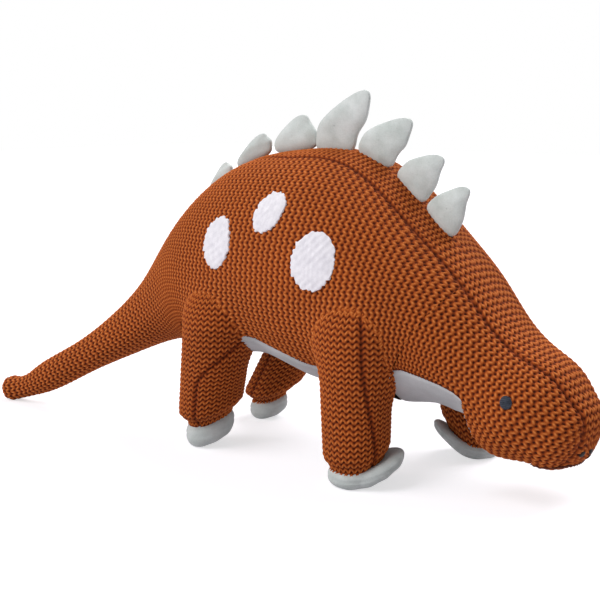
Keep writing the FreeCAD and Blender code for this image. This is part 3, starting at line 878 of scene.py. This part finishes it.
# Tilt in degrees, how far the point stands out, and its place in radians
SPOT_SHAPE = [(0.0, 0.10, 1.2), (-35.0, 0.08, 0.6), (12.0, 0.10, 1.4)]
for side, sign in (("right", -1), ("left", 1)):
    for number, (tilt, point, place_at) in enumerate(SPOT_SHAPE, 1):
        node = "spot_%s_%d" % (side, number)
        middle, half = middle_of(node)
        ragged = np.random.default_rng(50 + number).normal(size=TEETH)

        def outline(a, half=half, tilt=math.radians(tilt), point=point, place_at=place_at,
                    ragged=ragged, sign=sign):
            a = a if sign < 0 else math.pi - a
            wide, tall = (0.92, 1.08) if tilt < -0.1 else (1.0, 1.0)
            b = a - tilt
            oval = 1 / math.hypot(math.cos(b) / (half[0] * wide), math.sin(b) / (half[2] * tall))
            tooth = np.interp(a / (2 * math.pi) * TEETH, np.arange(TEETH), ragged, period=TEETH)
            off_point = (a - place_at + math.pi) % (2 * math.pi) - math.pi
            peak = point * math.exp(-off_point ** 2 / POINT_SPREAD)
            return oval * (SPOT_SIZE + peak) + RAGGED_MM * tooth

        piece = patch("terry_" + node, outline, middle, (0, sign, 0),
                      lambda s, a: SPOT_LIFT * (1 - 0.5 * s ** 5),
                      terry, "torso", [node], 0.9, TUFT_LIFT)
print("spots", 2 * len(SPOT_SHAPE))

# %% [markdown]
# The eyes and nostrils are satin stitch, so they stand up a little and carry fine ribs of thread. They
# are made with the same patch function, with plain ovals for outlines.

# %% Eyes and nostrils
EYE_LIFT = 1.1
EYE_TILT = 0.45           # radians
EYE_HEIGHT = 0.88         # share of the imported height
STITCH_RIB = 0.25
NOSTRIL_HALF_GAP = 3.4
NOSTRIL_SHIFT = -4.0      # along Y, as the nose is turned a little
NOSTRIL_RISE = 0.5
NOSTRIL_LIFT = 0.7
NOSE_PITCH = math.radians(15)
for side, sign in (("right", -1), ("left", 1)):
    node = "eye_" + side
    middle, half = middle_of(node)

    def eye_outline(a, half=half):
        b = a - EYE_TILT
        return 1 / math.hypot(math.cos(b) / half[0], math.sin(b) / (EYE_HEIGHT * half[2]))

    patch("satin_" + node, eye_outline, middle, (0, sign, 0),
          lambda s, a: EYE_LIFT * (1 - 0.4 * s ** 4) + STITCH_RIB * math.sin(s * math.sin(a) * 22),
          thread_slate, "head", [node], 0.3)

nose_facing = np.array([math.cos(NOSE_PITCH), 0, math.sin(NOSE_PITCH)])
nose_middle, _ = middle_of("nostrils")
for side, sign in (("right", -1), ("left", 1)):
    spot_at = nose_middle * [1, 0, 1] + [0, sign * NOSTRIL_HALF_GAP + NOSTRIL_SHIFT, NOSTRIL_RISE]
    patch("satin_nostril_" + side, lambda a: 1.25 + 0.4 * abs(math.cos(a)), spot_at, nose_facing,
          lambda s, a: NOSTRIL_LIFT * (1 - 0.4 * s ** 4), thread_dark, "head",
          ["nostrils"] if sign < 0 else [], 0.3)
print("eyes and nostrils", 4)

# %% [markdown]
# ## Mouth
# The mouth is a short line of stitches round the front of the snout, pulled in so that the muzzle looks
# soft. It is laid as a thin thread along the skin.

# %% Mouth thread
MOUTH_TURN = math.radians(112)      # how far the line goes round to each side
MOUTH_POINTS = 81
MOUTH_MIDDLE_X = 214
THREAD_RADIUS = 0.6
low, high = (np.array(corner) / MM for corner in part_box("mouth_stitch"))
mouth_z = (low[2] + high[2]) / 2
path = []
for share in np.linspace(-1, 1, MOUTH_POINTS):
    turn = share * MOUTH_TURN
    way = np.array([math.cos(turn), math.sin(turn), 0])
    point, normal = lay(np.array([MOUTH_MIDDLE_X, 0, mouth_z]) + way * 70, -way)
    path.append(point + normal * (0.35 + 0.25 * math.sin(share * 60)))
path = np.array(path)
forward = np.gradient(path, axis=0)
forward = forward / np.linalg.norm(forward, axis=1, keepdims=True)
upward = np.array([0, 0, 1.0])
outward = np.cross(forward, upward)
ring = 2 * math.pi * np.arange(10) / 10
thick = THREAD_RADIUS * np.sqrt(np.maximum(1 - np.linspace(-1, 1, MOUTH_POINTS) ** 8, 0.05))
points = path[:, None] + thick[:, None, None] * (outward[:, None] * np.cos(ring)[None, :, None]
                                                 + upward * np.sin(ring)[None, :, None])
mouth = grid_piece("mouth_thread", points, wrap=True, material=thread_rust)
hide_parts("mouth_stitch")
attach(mouth, "head")
print("mouth thread of", MOUTH_POINTS, "points")

# %% [markdown]
# ## Floor, light and camera
# The toy stands on a white table in soft daylight. The table glows a little, and more so where the
# camera sees it directly, so that it looks white and still keeps the shadow under the feet.

# %% Floor
TABLE_GLOW = 0.12
TABLE_GLOW_SEEN = 0.48    # added where the camera looks at the table itself


def plain(name, code, rough):
    """Plain matt material of one colour."""
    material = bpy.data.materials.new(name)
    material.use_nodes = True
    shader = material.node_tree.nodes["Principled BSDF"]
    shader.inputs["Base Color"].default_value = linear(code)
    shader.inputs["Roughness"].default_value = rough
    shader.inputs["Specular IOR Level"].default_value = 0.1
    return material


floor_mesh = bpy.data.meshes.new("table")
floor_mesh.from_pydata([(-4, -4, 0), (4, -4, 0), (4, 4, 0), (-4, 4, 0)], [], [(0, 1, 2, 3)])
floor = bpy.data.objects.new("table", floor_mesh)
bpy.context.collection.objects.link(floor)
table = plain("white_table", "#C6C3C9", 0.9)
tree = table.node_tree
seen = add(tree, "ShaderNodeLightPath")
glow = add(tree, "ShaderNodeMath", {0: seen.outputs["Is Camera Ray"]}, operation="MULTIPLY_ADD")
glow.inputs[1].default_value = TABLE_GLOW_SEEN
glow.inputs[2].default_value = TABLE_GLOW
tree.nodes["Principled BSDF"].inputs["Emission Color"].default_value = linear("#FFFFFF")
tree.links.new(glow.outputs[0], tree.nodes["Principled BSDF"].inputs["Emission Strength"])
floor_mesh.materials.append(table)
print("floor", floor.name)

# %% [markdown]
# One wide lamp shines from the near side, and a wider-set, slightly stronger one from above the far
# side. A plain white room fills the shadows.


# %% Lamps and room light
def lamp(name, toward, strength, spread):
    """Far soft lamp that shines from a direction, with its spread in degrees."""
    light = bpy.data.lights.new(name, "SUN")
    light.energy = strength
    light.angle = math.radians(spread)
    thing = bpy.data.objects.new(name, light)
    thing.rotation_euler = Vector(toward).to_track_quat("Z", "Y").to_euler()
    bpy.context.collection.objects.link(thing)
    return thing


lamps = [lamp("lamp_key", (-0.5, -0.9, 0.95), 2.2, 50),
         lamp("lamp_back", (0.1, 0.85, 1.2), 2.6, 40)]
ROOM_LIGHT = 0.30
world = bpy.data.worlds.new("room")
bpy.context.scene.world = world
world.use_nodes = True
tree = world.node_tree
background = tree.nodes["Background"]
seen = add(tree, "ShaderNodeLightPath")
shine = add(tree, "ShaderNodeMix", {"Factor": seen.outputs["Is Camera Ray"]})
shine.data_type = "FLOAT"
shine.inputs[2].default_value = ROOM_LIGHT
shine.inputs[3].default_value = 1.0
tree.links.new(shine.outputs[0], background.inputs["Strength"])
background.inputs["Color"].default_value = (1, 1, 1, 1)
print("lamps", len(lamps))

# %% [markdown]
# A moderately long lens from just above the toy's back and 40 degrees round from its side towards the
# nose shows the whole flank and the face.

# %% Camera
CAMERA_TARGET = Vector((0.015, 0.007, 0.095))
CAMERA_DISTANCE = 0.850
CAMERA_AZIMUTH, CAMERA_RISE = math.radians(40), math.radians(9)
camera = bpy.data.cameras.new("camera")
camera.lens = 76.5
camera.sensor_width = 36
view = bpy.data.objects.new("camera", camera)
away = Vector((math.sin(CAMERA_AZIMUTH) * math.cos(CAMERA_RISE),
               -math.cos(CAMERA_AZIMUTH) * math.cos(CAMERA_RISE), math.sin(CAMERA_RISE)))
view.location = CAMERA_TARGET + away * CAMERA_DISTANCE
view.rotation_euler = (-away).to_track_quat("-Z", "Y").to_euler()
bpy.context.collection.objects.link(view)
bpy.context.scene.camera = view
bpy.context.scene.view_settings.view_transform = "Standard"
print("camera at", [round(value, 3) for value in view.location])
